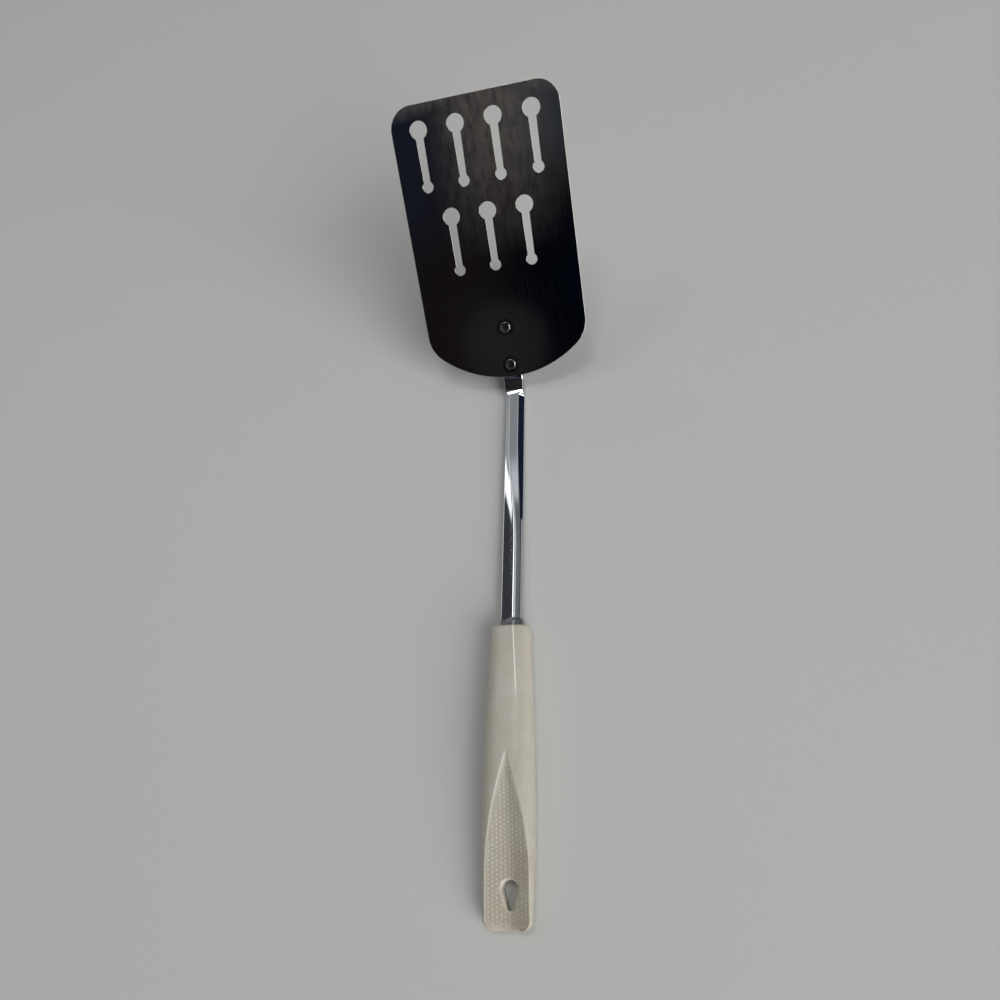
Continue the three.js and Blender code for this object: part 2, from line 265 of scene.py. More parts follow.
# The rings run from the tang's end to the tongue's tip, close together at the shoulder and by the bend.
rings = []
for distance, width in zip((tang_length, tang_length / 2, tang_start), tang_widths):
    section = flat_section(width, tang_wall, width - tang_inset, tang_height, tang_round)
    rings.append(shank_ring(*bar_line(bar_length + distance), section, rise=tang_rise))
fine_length = shoulder_length * 1.3
fine_steps = 12
for step in range(fine_steps + 1):
    rings.append(bar_ring(bar_length - fine_length * step / fine_steps))
bend_reach = 5
bar_steps = 90
for step in range(1, bar_steps + 1):
    rings.append(bar_ring(mix(bar_length - fine_length, bend_reach, step / bar_steps)))
reach_steps = 20
for step in range(1, reach_steps + 1):
    rings.append(bar_ring(bend_reach * (1 - step / reach_steps)))
bend_steps = 18
for step in range(1, bend_steps + 1):
    share = step / bend_steps
    section = pad_section(mix(bar_width, tongue_width, share))
    rings.append(shank_ring(*bend_arc(mix(-bar_tilt, blade_tilt, share)), section, top=bar_height))
pad_steps = 13
section = pad_section(tongue_width)
for step in range(1, pad_steps + 1):
    rings.append(shank_ring(*tongue_line(heel_y * step / pad_steps), section, top=bar_height))
tongue_steps = 10
tip_steps = 12
tongue_stops = []
for step in range(1, tongue_steps + 1):
    tongue_stops.append((mix(heel_y, tongue_end - tongue_width / 2, step / tongue_steps), tongue_width))
for step in range(1, tip_steps):
    turn = math.radians(90) * step / tip_steps
    tongue_stops.append((
        tongue_end - tongue_width / 2 * (1 - math.sin(turn)),
        tongue_width * math.cos(turn),
    ))
for along, width in tongue_stops:
    height = tongue_thickness + tongue_seat * ease(along, *(heel_y + run for run in tongue_seat_run))
    wall = height - tongue_edge * width / tongue_width
    section = flat_section(width, wall, width * tongue_flat_share, height, tongue_edge)
    rings.append(shank_ring(*tongue_line(along), section))
shank = skin("plated_shank", rings)
smooth(shank, 40)


def linear(colour):
    """An sRGB hex colour as the linear colour that a shader takes."""
    values = [int(colour[i:i + 2], 16) / 255 for i in (1, 3, 5)]
    return tuple(v / 12.92 if v <= 0.04045 else ((v + 0.055) / 1.055) ** 2.4 for v in values) + (1,)


def node(tree, kind, inputs=None, **settings):
    """Adds a node with its settings; each input is a plain value or another node's output.
    Inputs 1 to 4 of a MapRange are the range that it takes and the range that it gives."""
    made = tree.nodes.new("ShaderNode" + kind)
    for name, value in settings.items():
        setattr(made, name, value)
    for name, value in (inputs or {}).items():
        if isinstance(value, bpy.types.NodeSocket):
            tree.links.new(value, made.inputs[name])
        else:
            made.inputs[name].default_value = value
    return made


def new_material(name):
    material = bpy.data.materials.new(name)
    material.use_nodes = True
    tree = material.node_tree
    return material, tree, tree.nodes["Principled BSDF"]


# Chrome plate over buffed steel: a near mirror with faint lengthwise buffing lines. It is pitted and scuffed
# beside the ridge, where it rubs. On the shoulder it is rougher, and its colour is darker by painted shade.
worn_xs = (-2.4, 1.0, 1.4)
worn_start_run = (6, -8)
worn_end_run = (-26, -36)
shoulder_shade_run = (-47.0, -47.6)
chrome, tree, surface = new_material("chrome plate on steel")
place = node(tree, "TexCoord").outputs["Object"]
axes = node(tree, "SeparateXYZ", {0: place})
# Buffing lines 0.35 mm apart and 30 mm long.
lines = node(tree, "Mapping", {"Vector": place, "Scale": (1 / (0.35 * mm), 1 / (30 * mm), 1 / (0.35 * mm))})
buffing = node(tree, "TexNoise", {"Vector": lines.outputs[0], "Scale": 1, "Detail": 2})
# Cloudy wear in patches of about 5 mm.
wear = node(tree, "TexNoise", {"Vector": place, "Scale": 1 / (5 * mm), "Detail": 4, "Roughness": 0.6})
# Pits of about 0.3 mm, drawn a little coarser than the real ones so that they show.
pits = node(tree, "TexNoise", {"Vector": place, "Scale": 1 / (0.42 * mm), "Detail": 1})
pitted = node(tree, "MapRange", {"Value": pits.outputs["Fac"], 1: 0.66, 2: 0.70, 3: 0, 4: 1})
worn_left = node(tree, "MapRange", {
    "Value": axes.outputs["X"], 1: worn_xs[0] * mm, 2: worn_xs[1] * mm, 3: 0, 4: 1,
})
worn_right = node(tree, "MapRange", {
    "Value": axes.outputs["X"], 1: worn_xs[1] * mm, 2: worn_xs[2] * mm, 3: 1, 4: 0,
})
worn_start = node(tree, "MapRange", {
    "Value": axes.outputs["Y"], 1: worn_start_run[0] * mm, 2: worn_start_run[1] * mm, 3: 0, 4: 1,
})
worn_end = node(tree, "MapRange", {
    "Value": axes.outputs["Y"], 1: worn_end_run[0] * mm, 2: worn_end_run[1] * mm, 3: 1, 4: 0,
})
worn_run = node(tree, "Math", {0: worn_start.outputs[0], 1: worn_end.outputs[0]}, operation="MULTIPLY")
beside = node(tree, "Math", {0: worn_left.outputs[0], 1: worn_right.outputs[0]}, operation="MULTIPLY")
band = node(tree, "Math", {0: beside.outputs[0], 1: worn_run.outputs[0]}, operation="MULTIPLY")
scuffed = node(tree, "Math", {0: band.outputs[0], 1: pitted.outputs[0]}, operation="MULTIPLY")
shoulder_dull_shade = node(tree, "MapRange", {
    "Value": axes.outputs["Y"], 1: shoulder_shade_run[0] * mm, 2: shoulder_shade_run[1] * mm, 3: 0, 4: 1,
})
gloss = node(tree, "MapRange", {"Value": wear.outputs["Fac"], 1: 0.3, 2: 0.75, 3: 0.045, 4: 0.12})
rub_and_sheen = node(tree, "Math", {0: scuffed.outputs[0], 1: 0.5, 2: gloss.outputs[0]}, operation="MULTIPLY_ADD")
roughness = node(tree, "Math", {0: shoulder_dull_shade.outputs[0], 1: 0.3, 2: rub_and_sheen.outputs[0]}, operation="MULTIPLY_ADD")
colour = node(tree, "Mix", {
    0: wear.outputs["Fac"],
    "A": linear("#d3d6db"),
    "B": linear("#c2c4c9"),
}, data_type="RGBA")
# Painted shade: the shoulder's colour is mixed towards dark grey.
colour = node(tree, "Mix", {
    0: shoulder_dull_shade.outputs[0],
    "A": colour.outputs["Result"],
    "B": linear("#77797b"),
}, data_type="RGBA")
relief = node(tree, "Math", {
    0: scuffed.outputs[0], 1: -0.6, 2: buffing.outputs["Fac"],
}, operation="MULTIPLY_ADD")
bump = node(tree, "Bump", {"Strength": 0.12, "Distance": 0.03 * mm, "Height": relief.outputs[0]})
surface.inputs["Metallic"].default_value = 1
tree.links.new(colour.outputs["Result"], surface.inputs["Base Color"])
tree.links.new(roughness.outputs[0], surface.inputs["Roughness"])
tree.links.new(bump.outputs[0], surface.inputs["Normal"])
shank.data.materials.append(chrome)
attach(shank, "root")
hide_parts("shank")

# Blade: 0.8 mm stainless sheet, blanked and pierced in one press, with two rows of keyhole slots.
# It is rolled to a bright finish, so it mirrors what stands over it, with lengthwise streaks
# and a greasy haze.
blade_width = 76
blade_length = 123.8
sheet = 0.8
seat_gap = 0.3
front_corner = 10
heel_radius = 51
heel_corner = 15
slot_rows = (4, 3)
slot_pitch = 17
slot_length = 23.6
slot_large_end = 3.9
slot_small_end = 2.5
slot_neck_widths = (3.5, 2.9)
slot_from_front = 10.5
slot_row_step = 37.7
rivet_hole_radius = 1.9
punch_low = -1
punch_high = 8
cut_edge_round = 0.13
blade_low = tongue_thickness + seat_gap
blade_high = blade_low + sheet
front_y = heel_y + blade_length
tongue_y, tongue_z, tongue_lean = tongue_line(0)
tongue_frame = (
    Matrix.Translation(Vector((0, (bend_y + tongue_y) * mm, tongue_z * mm)))
    @ Matrix.Rotation(tongue_lean, 4, "X")
)


def post(radius, x, y, low, high, sides=96):
    """A round post between two heights, with its place in its mesh."""
    bpy.ops.object.select_all(action="DESELECT")
    bpy.ops.mesh.primitive_cylinder_add(
        vertices=sides, radius=radius * mm, depth=(high - low) * mm,
        location=(x * mm, y * mm, (low + high) / 2 * mm),
    )
    bpy.ops.object.transform_apply(location=True, rotation=False, scale=False)
    return bpy.context.object


def joined(pieces):
    bpy.ops.object.select_all(action="DESELECT")
    for piece in pieces:
        piece.select_set(True)
    bpy.context.view_layer.objects.active = pieces[0]
    bpy.ops.object.join()
    return pieces[0]


def stretched_over(pieces):
    """One convex body stretched over several, as a blank's outline runs round its corners."""
    piece = joined(pieces)
    bpy.ops.object.mode_set(mode="EDIT")
    bpy.ops.mesh.select_all(action="SELECT")
    bpy.ops.mesh.convex_hull()
    bpy.ops.mesh.select_all(action="SELECT")
    bpy.ops.mesh.dissolve_limited(angle_limit=math.radians(0.2))
    bpy.ops.mesh.normals_make_consistent(inside=False)
    bpy.ops.object.mode_set(mode="OBJECT")
    return piece


def cut_away(piece, cutter, overlaps=False):
    """Cuts one body out of a piece. A cutter of joined posts may overlap itself."""
    modifier = piece.modifiers.new("cut", "BOOLEAN")
    modifier.operation = "DIFFERENCE"
    modifier.solver = "EXACT"
    modifier.use_self = overlaps
    modifier.object = cutter
    bpy.ops.object.select_all(action="DESELECT")
    piece.select_set(True)
    bpy.context.view_layer.objects.active = piece
    bpy.ops.object.modifier_apply(modifier=modifier.name)
    bpy.data.objects.remove(cutter)


corner_x = blade_width / 2 - heel_corner
corner_drop = math.sqrt((heel_radius - heel_corner) ** 2 - corner_x ** 2)
heel = post(heel_radius, 0, heel_y + heel_radius, blade_low, blade_high, 360)
bpy.ops.object.mode_set(mode="EDIT")
bpy.ops.mesh.select_all(action="SELECT")
kept_below = heel_y + heel_radius * (1 - corner_drop / (heel_radius - heel_corner))
bpy.ops.mesh.bisect(plane_co=(0, kept_below * mm, 0), plane_no=(0, 1, 0), use_fill=True, clear_outer=True)
bpy.ops.object.mode_set(mode="OBJECT")
corners = [heel]
for side in (-1, 1):
    corners.append(post(
        front_corner, side * (blade_width / 2 - front_corner), front_y - front_corner,
        blade_low, blade_high, 120,
    ))
    corners.append(post(
        heel_corner, side * corner_x, heel_y + heel_radius - corner_drop, blade_low, blade_high, 160,
    ))
blade = stretched_over(corners)
blade.name = "slotted_blade"

large_end = post(slot_large_end, 0, 0, punch_low, punch_high, 64)
small_end = post(slot_small_end, 0, -slot_length, punch_low, punch_high, 48)
neck_wide, neck_narrow = slot_neck_widths
bpy.ops.object.select_all(action="DESELECT")
bpy.ops.mesh.primitive_cube_add(
    size=1,
    scale=(neck_wide * mm, slot_length * mm, (punch_high - punch_low) * mm),
    location=(0, -slot_length / 2 * mm, (punch_low + punch_high) / 2 * mm),
)
neck = bpy.context.object
bpy.ops.object.transform_apply(location=True, rotation=False, scale=True)
for vertex in neck.data.vertices:
    if vertex.co.y < -slot_length / 2 * mm:
        vertex.co.x *= neck_narrow / neck_wide
keyhole = joined([large_end, small_end, neck])
punches = []
for row, count in enumerate(slot_rows):
    for index in range(count):
        punch = keyhole.copy()
        punch.data = keyhole.data.copy()
        bpy.context.scene.collection.objects.link(punch)
        x = (index - (count - 1) / 2) * slot_pitch
        y = front_y - slot_from_front - row * slot_row_step
        punch.data.transform(Matrix.Translation(Vector((x * mm, y * mm, 0))))
        punches.append(punch)
bpy.data.objects.remove(keyhole)
for y in rivet_ys:
    punches.append(post(rivet_hole_radius, 0, y, punch_low, punch_high, 48))
cut_away(blade, joined(punches), overlaps=True)

# The press leaves a slight round on every cut edge.
edge = blade.modifiers.new("edge", "BEVEL")
edge.width = cut_edge_round * mm
edge.segments = 2
edge.limit_method = "ANGLE"
edge.angle_limit = math.radians(40)
bpy.ops.object.modifier_apply(modifier=edge.name)
bpy.ops.object.mode_set(mode="EDIT")
bpy.ops.mesh.select_all(action="SELECT")
weld_reach = 0.001 * mm
bpy.ops.mesh.remove_doubles(threshold=weld_reach)
bpy.ops.mesh.dissolve_degenerate(threshold=weld_reach)
bpy.ops.object.mode_set(mode="OBJECT")
blade.data.transform(tongue_frame)
smooth(blade, 16)

# Bright-rolled stainless steel: a dark mirror here. Fine streaks run from heel to front, a greasy haze
# clings to the front half between the slots, and heat has given the sheet a faint brown cast.
haze_run = (62, 112)
haze_x = 6
haze_side_run = (8, 30)
haze_front_run = (front_y - 7, front_y - 1)
steel, tree, surface = new_material("bright rolled stainless steel")
place = node(tree, "TexCoord").outputs["Object"]
# The pattern is turned into the sheet's own plane: X across, Y from heel to front.
on_sheet = node(tree, "Mapping", {
    "Vector": place,
    "Location": tongue_frame.translation,
    "Rotation": (tongue_lean, 0, 0),
}, vector_type="TEXTURE")
axes = node(tree, "SeparateXYZ", {0: on_sheet.outputs[0]})
# Rolling streaks 0.5 mm wide and 18 mm long.
drawn = node(tree, "Mapping", {
    "Vector": on_sheet.outputs[0], "Scale": (1 / (0.5 * mm), 1 / (18 * mm), 1 / (0.5 * mm)),
})
streaks = node(tree, "TexNoise", {"Vector": drawn.outputs[0], "Scale": 1, "Detail": 3, "Roughness": 0.6})
# Wiped haze: cloudy smears about 3 mm wide and 8 mm long.
wiped = node(tree, "Mapping", {
    "Vector": on_sheet.outputs[0], "Scale": (1 / (3 * mm), 1 / (8 * mm), 1 / (3 * mm)),
})
smears = node(tree, "TexNoise", {"Vector": wiped.outputs[0], "Scale": 1, "Detail": 6, "Roughness": 0.7})
haze_far = node(tree, "MapRange", {
    "Value": axes.outputs["Y"], 1: haze_run[0] * mm, 2: haze_run[1] * mm, 3: 0, 4: 1,
})
aside = node(tree, "Math", {0: axes.outputs["X"], 1: haze_x * mm}, operation="SUBTRACT")
across = node(tree, "Math", {0: aside.outputs[0]}, operation="ABSOLUTE")
haze_mid = node(tree, "MapRange", {
    "Value": across.outputs[0], 1: haze_side_run[0] * mm, 2: haze_side_run[1] * mm, 3: 1, 4: 0,
})
haze_wide = node(tree, "Math", {0: haze_far.outputs[0], 1: haze_mid.outputs[0]}, operation="MULTIPLY")
haze_front = node(tree, "MapRange", {
    "Value": axes.outputs["Y"], 1: haze_front_run[0] * mm, 2: haze_front_run[1] * mm, 3: 0, 4: 0.8,
})
haze_place = node(tree, "Math", {0: haze_wide.outputs[0], 1: haze_front.outputs[0]}, operation="MAXIMUM")
haze_smear = node(tree, "MapRange", {"Value": smears.outputs["Fac"], 1: 0.28, 2: 0.72, 3: 0.1, 4: 0.9})
haze = node(tree, "Math", {0: haze_place.outputs[0], 1: haze_smear.outputs[0]}, operation="MULTIPLY")
finish = node(tree, "MapRange", {"Value": streaks.outputs["Fac"], 1: 0.35, 2: 0.75, 3: 0.05, 4: 0.14})
roughness = node(tree, "Math", {0: haze.outputs[0], 1: 0.16, 2: finish.outputs[0]}, operation="MULTIPLY_ADD")
filmed = node(tree, "Math", {0: haze.outputs[0], 1: -0.2, 2: 1}, operation="MULTIPLY_ADD")
cast = node(tree, "TexNoise", {"Vector": on_sheet.outputs[0], "Scale": 1 / (30 * mm), "Detail": 2})
colour = node(tree, "Mix", {
    0: cast.outputs["Fac"],
    "A": linear("#b9b7b8"),
    "B": linear("#a89f98"),
}, data_type="RGBA")
colour = node(tree, "Mix", {
    0: haze.outputs[0],
    "A": colour.outputs["Result"],
    "B": linear("#a3958b"),
}, data_type="RGBA")
bump = node(tree, "Bump", {"Strength": 0.08, "Distance": 0.03 * mm, "Height": streaks.outputs["Fac"]})
tree.links.new(filmed.outputs[0], surface.inputs["Metallic"])
tree.links.new(colour.outputs["Result"], surface.inputs["Base Color"])
tree.links.new(roughness.outputs[0], surface.inputs["Roughness"])
tree.links.new(bump.outputs[0], surface.inputs["Normal"])
blade.data.materials.append(steel)
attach(blade, "root")
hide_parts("blade")

# Rivets: two steel rivets on the centre line, set cold through blade and tongue. The set leaves a low head
# with a round rim and a slightly dished middle on the blade, and a wider flat tail under the tongue.
shaft_radius = 1.6
head_radius = 2.4
tail_radius = 2.7
head_height = 0.9
tail_height = 0.8
head_rim = 0.28
tail_rim = 0.4
rim_inset = 0.22
head_dish = 0.08
tail_dish = 0.05
head_top = blade_high + seat_gap + head_height
tail_low = -seat_gap - tail_height


def pick_faces(test):
    """Selects only the faces that pass the test, in edit mode."""
    bpy.ops.mesh.select_mode(type="FACE")
    bpy.ops.mesh.select_all(action="DESELECT")
    mesh = bmesh.from_edit_mesh(bpy.context.object.data)
    for face in mesh.faces:
        face.select_set(test(face))
    bmesh.update_edit_mesh(bpy.context.object.data)


def widened_end(up, radius, reach, rim, dish):
    """Spreads an end of the shaft into a round head, rounds its rim and dishes its middle."""
    pick_faces(lambda face: face.normal.z * up > 0.9)
    bpy.ops.mesh.extrude_region_move()
    bpy.ops.transform.resize(value=(radius / shaft_radius, radius / shaft_radius, 1))
    bpy.ops.mesh.extrude_region_move(TRANSFORM_OT_translate={"value": (0, 0, up * reach * mm)})
    bpy.ops.mesh.bevel(offset=rim * mm, segments=6, affect="EDGES")
    level = max(vertex.co.z * up for vertex in bmesh.from_edit_mesh(bpy.context.object.data).verts)
    pick_faces(lambda face: face.normal.z * up > 0.999 and face.calc_center_median().z * up > level - 1e-6)
    bpy.ops.mesh.inset(thickness=rim_inset * mm)
    bpy.ops.transform.translate(value=(0, 0, -up * dish * mm))


rivet = post(shaft_radius, 0, 0, 0, blade_high, 48)
bpy.ops.object.mode_set(mode="EDIT")
widened_end(1, head_radius, head_top - blade_high, head_rim, head_dish)
widened_end(-1, tail_radius, -tail_low, tail_rim, tail_dish)
bpy.ops.mesh.select_all(action="SELECT")
bpy.ops.mesh.normals_make_consistent(inside=False)
bpy.ops.object.mode_set(mode="OBJECT")
smooth(rivet, 35)

# Plain steel wire, cold set: duller than the sheet, a little scratched and dented.
wire, tree, surface = new_material("cold-set steel wire")
place = node(tree, "TexCoord").outputs["Object"]
# Scratches and dents of about 0.5 mm.
dents = node(tree, "TexNoise", {"Vector": place, "Scale": 1 / (0.5 * mm), "Detail": 3})
roughness = node(tree, "MapRange", {"Value": dents.outputs["Fac"], 1: 0.3, 2: 0.7, 3: 0.14, 4: 0.24})
colour = node(tree, "Mix", {
    0: dents.outputs["Fac"],
    "A": linear("#b4b2b0"),
    "B": linear("#94908c"),
}, data_type="RGBA")
bump = node(tree, "Bump", {"Strength": 0.06, "Distance": 0.03 * mm, "Height": dents.outputs["Fac"]})
surface.inputs["Metallic"].default_value = 1
tree.links.new(colour.outputs["Result"], surface.inputs["Base Color"])
tree.links.new(roughness.outputs[0], surface.inputs["Roughness"])
tree.links.new(bump.outputs[0], surface.inputs["Normal"])
for name, y in zip(("front_rivet", "rear_rivet"), rivet_ys):
    set_rivet = rivet.copy()
    set_rivet.data = rivet.data.copy()
    set_rivet.name = name + "_set"
    bpy.context.scene.collection.objects.link(set_rivet)
    set_rivet.data.transform(tongue_frame @ Matrix.Translation(Vector((0, y * mm, 0))))
    set_rivet.data.materials.append(wire)
    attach(set_rivet, "root")
    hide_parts(name)
bpy.data.objects.remove(rivet)

# Handle: one ivory plastic moulding round the tang. Its top is crowned, with a fine keel line by the shank,
# and a beaded grip recess sinks from its middle to the butt, where a teardrop hole takes a hook.
# Its distances run back from its front end.
handle_front = bend_y + bar_line(bar_length)[0] - seat_gap
handle_length = 109.43
front_width = 16.3
widest_width = 19.9
butt_width = 17.8
widest_from_front = 74
front_height = 10.2
crest_height = 12.2
butt_height = 7.2
crest_from_front = 48.5
side_height = 4.2
lower_radius = 2.2
crown_power = 3
crown_side_share = 0.58
front_round = 1
butt_radius = 3.6
butt_top_share = 0.25
recess_slope = math.tan(math.radians(18))
recess_shift = (0.4, 1.0)
recess_bottom = (0.12, 2.2)
recess_bottom_end = 76
recess_closing = 4
lip_half = 8.2
lip_length = 43
lip_blend = (0.06, 0.2)
lip_blend_end = 70
hole_radius = 3
tip_radius = 1.35
hole_spacing = 5.5
hole_from_front = 96.3
hole_rim_width = 0.8
hole_rim_depth = 0.45
bead_pitch = 1.5
bead_height = 0.1
bead_radius_squared = 0.15
bead_depth_run = (0.2, 0.7)
bead_hole_run = (0.6, 1.0)
bead_butt_run = (1.2, 2.6)
keel_slant = (1.9, 3.7)
keel_slant_length = 26
keel_width = 0.26
keel_height = 0.16
keel_fade_run = (33, 22)


def handle_width(distance):
    if distance < widest_from_front:
        return mix(front_width, widest_width, math.sin(distance / widest_from_front * math.pi / 2))
    share = (distance - widest_from_front) / (handle_length - widest_from_front)
    return mix(widest_width, butt_width, share ** 2)


def handle_height(distance):
    if distance < crest_from_front:
        return mix(front_height, crest_height, math.sin(distance / crest_from_front * math.pi / 2))
    share = (distance - crest_from_front) / (handle_length - crest_from_front)
    return mix(crest_height, butt_height, share ** 1.5)


def lower_of(first, second, blend):
    """The lower of two heights, with a round lip where they cross."""
    share = min(max(0.5 + 0.5 * (second - first) / blend, 0), 1)
    return mix(second, first, share) - blend * share * (1 - share)


def recess_middle(distance):
    """The recess runs a little to the right of the middle, more so at the butt."""
    return mix(*recess_shift, ease(distance, crest_from_front, hole_from_front))


def from_hole(x, distance):
    """How far a point lies outside the teardrop's edge."""
    across, along = abs(x - recess_middle(hole_from_front)), distance - hole_from_front
    lean = (hole_radius - tip_radius) / hole_spacing
    level = math.sqrt(1 - lean * lean)
    reach = -across * lean + along * level
    if reach < 0:
        return math.hypot(across, along) - hole_radius
    if reach > level * hole_spacing:
        return math.hypot(across, along - hole_spacing) - tip_radius
    return across * level + along * lean - hole_radius


def bead(x, distance):
    """The height of a bead here, from 0 to 1. Rows run along the handle, each half a bead off the next."""
    row = math.floor(x / bead_pitch)
    offset = 0.5 * (row % 2)
    u = x / bead_pitch - row - 0.5
    v = distance / bead_pitch + offset
    v = v - math.floor(v) - 0.5
    return max(0, 1 - (u * u + v * v) / bead_radius_squared)


def crown_at(x, half, top):
    fall = abs(x / half) ** crown_power
    return side_height + (top - side_height) * max(0, 1 - fall) ** (1 / crown_power)


def crown_and_depth(x, distance, half, top):
    """The crowned top's height, and how far the grip recess lies below it. The recess starts in a sharp
    point, and its two lips spread from there as its bottom widens."""
    run = (distance - crest_from_front) / lip_length
    lip = lip_half * math.sin(math.radians(90) * min(max(run, 0), 1))
    bottom = mix(*recess_bottom, ease(distance, crest_from_front, recess_bottom_end))
    across = x - recess_middle(distance)
    lip_top = crown_at(lip, handle_width(distance) / 2, handle_height(distance))
    recess = lip_top - recess_slope * (math.hypot(lip, bottom) - math.hypot(across, bottom))
    crown = crown_at(x, half, top)
    return crown, crown - recess + recess_closing * min(run, 0)


def beaded(x, distance, depth):
    """How strongly the beads stand up: only inside the recess, and clear of the hole's rim and the butt."""
    inside = ease(depth, *bead_depth_run)
    off_rim = ease(from_hole(x, distance), *bead_hole_run)
    off_butt = ease(handle_length - distance, *bead_butt_run)
    return inside * off_rim * off_butt


def handle_top(x, distance, half, top):
    crown, depth = crown_and_depth(x, distance, half, top)
    blend = mix(*lip_blend, ease(distance, crest_from_front, lip_blend_end))
    height = lower_of(crown, crown - depth, blend)
    height += bead_height * bead(x, distance) * beaded(x, distance, depth)
    height -= hole_rim_depth * (1 - min(max(from_hole(x, distance), 0) / hole_rim_width, 1)) ** 2
    return height + keel_height * keel(x, distance)


def keel(x, distance):
    """The fine ridge along the front of the top, from 0 to 1."""
    keel_x = mix(*keel_slant, distance / keel_slant_length)
    return math.exp(-(((x - keel_x) / keel_width) ** 2)) * ease(distance, *keel_fade_run)


def handle_ring(distance, side_inset, top_inset):
    """One section of the handle: a flat underside, rounded lower edges, upright sides and the top."""
    half = handle_width(distance) / 2 - side_inset
    top = handle_height(distance) - top_inset
    low = min(lower_radius, half)
    right = []
    round_steps = 6
    for step in range(round_steps + 1):
        turn = math.radians(90) * step / round_steps
        right.append((half - low * (1 - math.sin(turn)), low * (1 - math.cos(turn))))
    side_steps = 10
    for step in range(side_steps + 1):
        rise = crown_side_share * step / side_steps
        x = half * (1 - rise ** crown_power) ** (1 / crown_power)
        right.append((x, side_height + (top - side_height) * rise))
    edge = right[-1][0] / half
    under_step = 0.33
    outline = []
    for step in (5, 4, 3, 2, 1):
        share = 1 - under_step * step
        outline.append((half * share - low * share, 0))
    outline += right
    half_steps = 60
    for step in range(1, 2 * half_steps):
        x = half * edge * (1 - step / half_steps)
        outline.append((x, handle_top(x, distance, half, top)))
    outline += [(-x, z) for x, z in reversed(right)]
    return [Vector((x * mm, (handle_front - distance) * mm, z * mm)) for x, z in outline]


# The rings run from the butt to the front. The first stops just short of the round's end, and is filled.
rings = []
butt_start = handle_length - butt_radius
butt_steps = 20
for step in range(butt_steps, 0, -1):
    turn = math.radians(90) * step / (butt_steps + 0.5)
    inset = butt_radius * (1 - math.cos(turn))
    rings.append(handle_ring(butt_start + butt_radius * math.sin(turn), inset, inset * butt_top_share))
recess_steps = 270
for step in range(recess_steps):
    rings.append(handle_ring(mix(butt_start, crest_from_front, step / recess_steps), 0, 0))
front_steps = 48
for step in range(front_steps):
    rings.append(handle_ring(mix(crest_from_front, front_round, step / front_steps), 0, 0))
front_round_steps = 8
for step in range(front_round_steps + 1):
    turn = math.radians(90) * step / front_round_steps
    inset = front_round * (1 - math.cos(turn))
    rings.append(handle_ring(front_round * (1 - math.sin(turn)), inset, inset))
handle = skin("ivory_handle", rings)
wide_y = handle_front - hole_from_front
hole_x = recess_middle(hole_from_front)
core_low = -3
core_high = 20
cut_away(handle, stretched_over([
    post(hole_radius, hole_x, wide_y, core_low, core_high, 64),
    post(tip_radius, hole_x, wide_y - hole_spacing, core_low, core_high, 40),
]))
smooth(handle, 50)

# Painted shade between the beads: each point of the skin carries how deep it lies there. Painted highlight
# along the fine ridge and the recess's lips: each point also carries how near it is to those.
top_run = (1, 0.4)
# How pale the painted highlight makes each lip, how far down from the lip it reaches, and where it starts.
left_lip_highlight = 0.55
right_lip_highlight = 0.15
lip_highlight_depth = 0.14
lip_highlight_start = 3
painted_bead_shade = handle.data.attributes.new("painted_bead_shade", "FLOAT", "POINT")
painted_highlight = handle.data.attributes.new("rub_and_sheen", "FLOAT", "POINT")
for vertex, value, highlight_point in zip(handle.data.vertices, painted_bead_shade.data, painted_highlight.data):
    x, distance = vertex.co.x / mm, handle_front - vertex.co.y / mm
    half = handle_width(min(max(distance, 0), handle_length)) / 2
    top = handle_height(min(max(distance, 0), handle_length))
    crown, depth = crown_and_depth(min(max(x, -half), half), distance, half, top)
    skin_height = crown - max(depth, 0)
    on_top = ease(vertex.co.z / mm, *(skin_height - run for run in top_run))
    value.value = on_top * beaded(x, distance, depth) * (1 - bead(x, distance))
    # Painted highlight: the keel line and the lips are paled, the left lip more than the right.
    lip = left_lip_highlight if x < recess_middle(distance) else right_lip_highlight
    on_lip = math.exp(-((depth / lip_highlight_depth) ** 2))
    lip *= on_lip * ease(distance, crest_from_front, crest_from_front + lip_highlight_start)
    highlight_point.value = on_top * max(keel(x, distance), lip)

# ABS, moulded and long used: ivory with a warm cast, satin where the tool was polished, hazed by handling,
# with faint yellow-brown stains towards the butt and fine dark specks in the skin.
stain_run = (-125, -160)
ivory, tree, surface = new_material("moulded ivory ABS")
place = node(tree, "TexCoord").outputs["Object"]
axes = node(tree, "SeparateXYZ", {0: place})
bead_shade_attribute = node(tree, "Attribute", attribute_name="painted_bead_shade")
# Cloudy yellowing in patches of about 9 mm, and mottling of about 1.5 mm.
clouds = node(tree, "TexNoise", {"Vector": place, "Scale": 1 / (9 * mm), "Detail": 4, "Roughness": 0.6})
mottle = node(tree, "TexNoise", {"Vector": place, "Scale": 1 / (1.5 * mm), "Detail": 2})
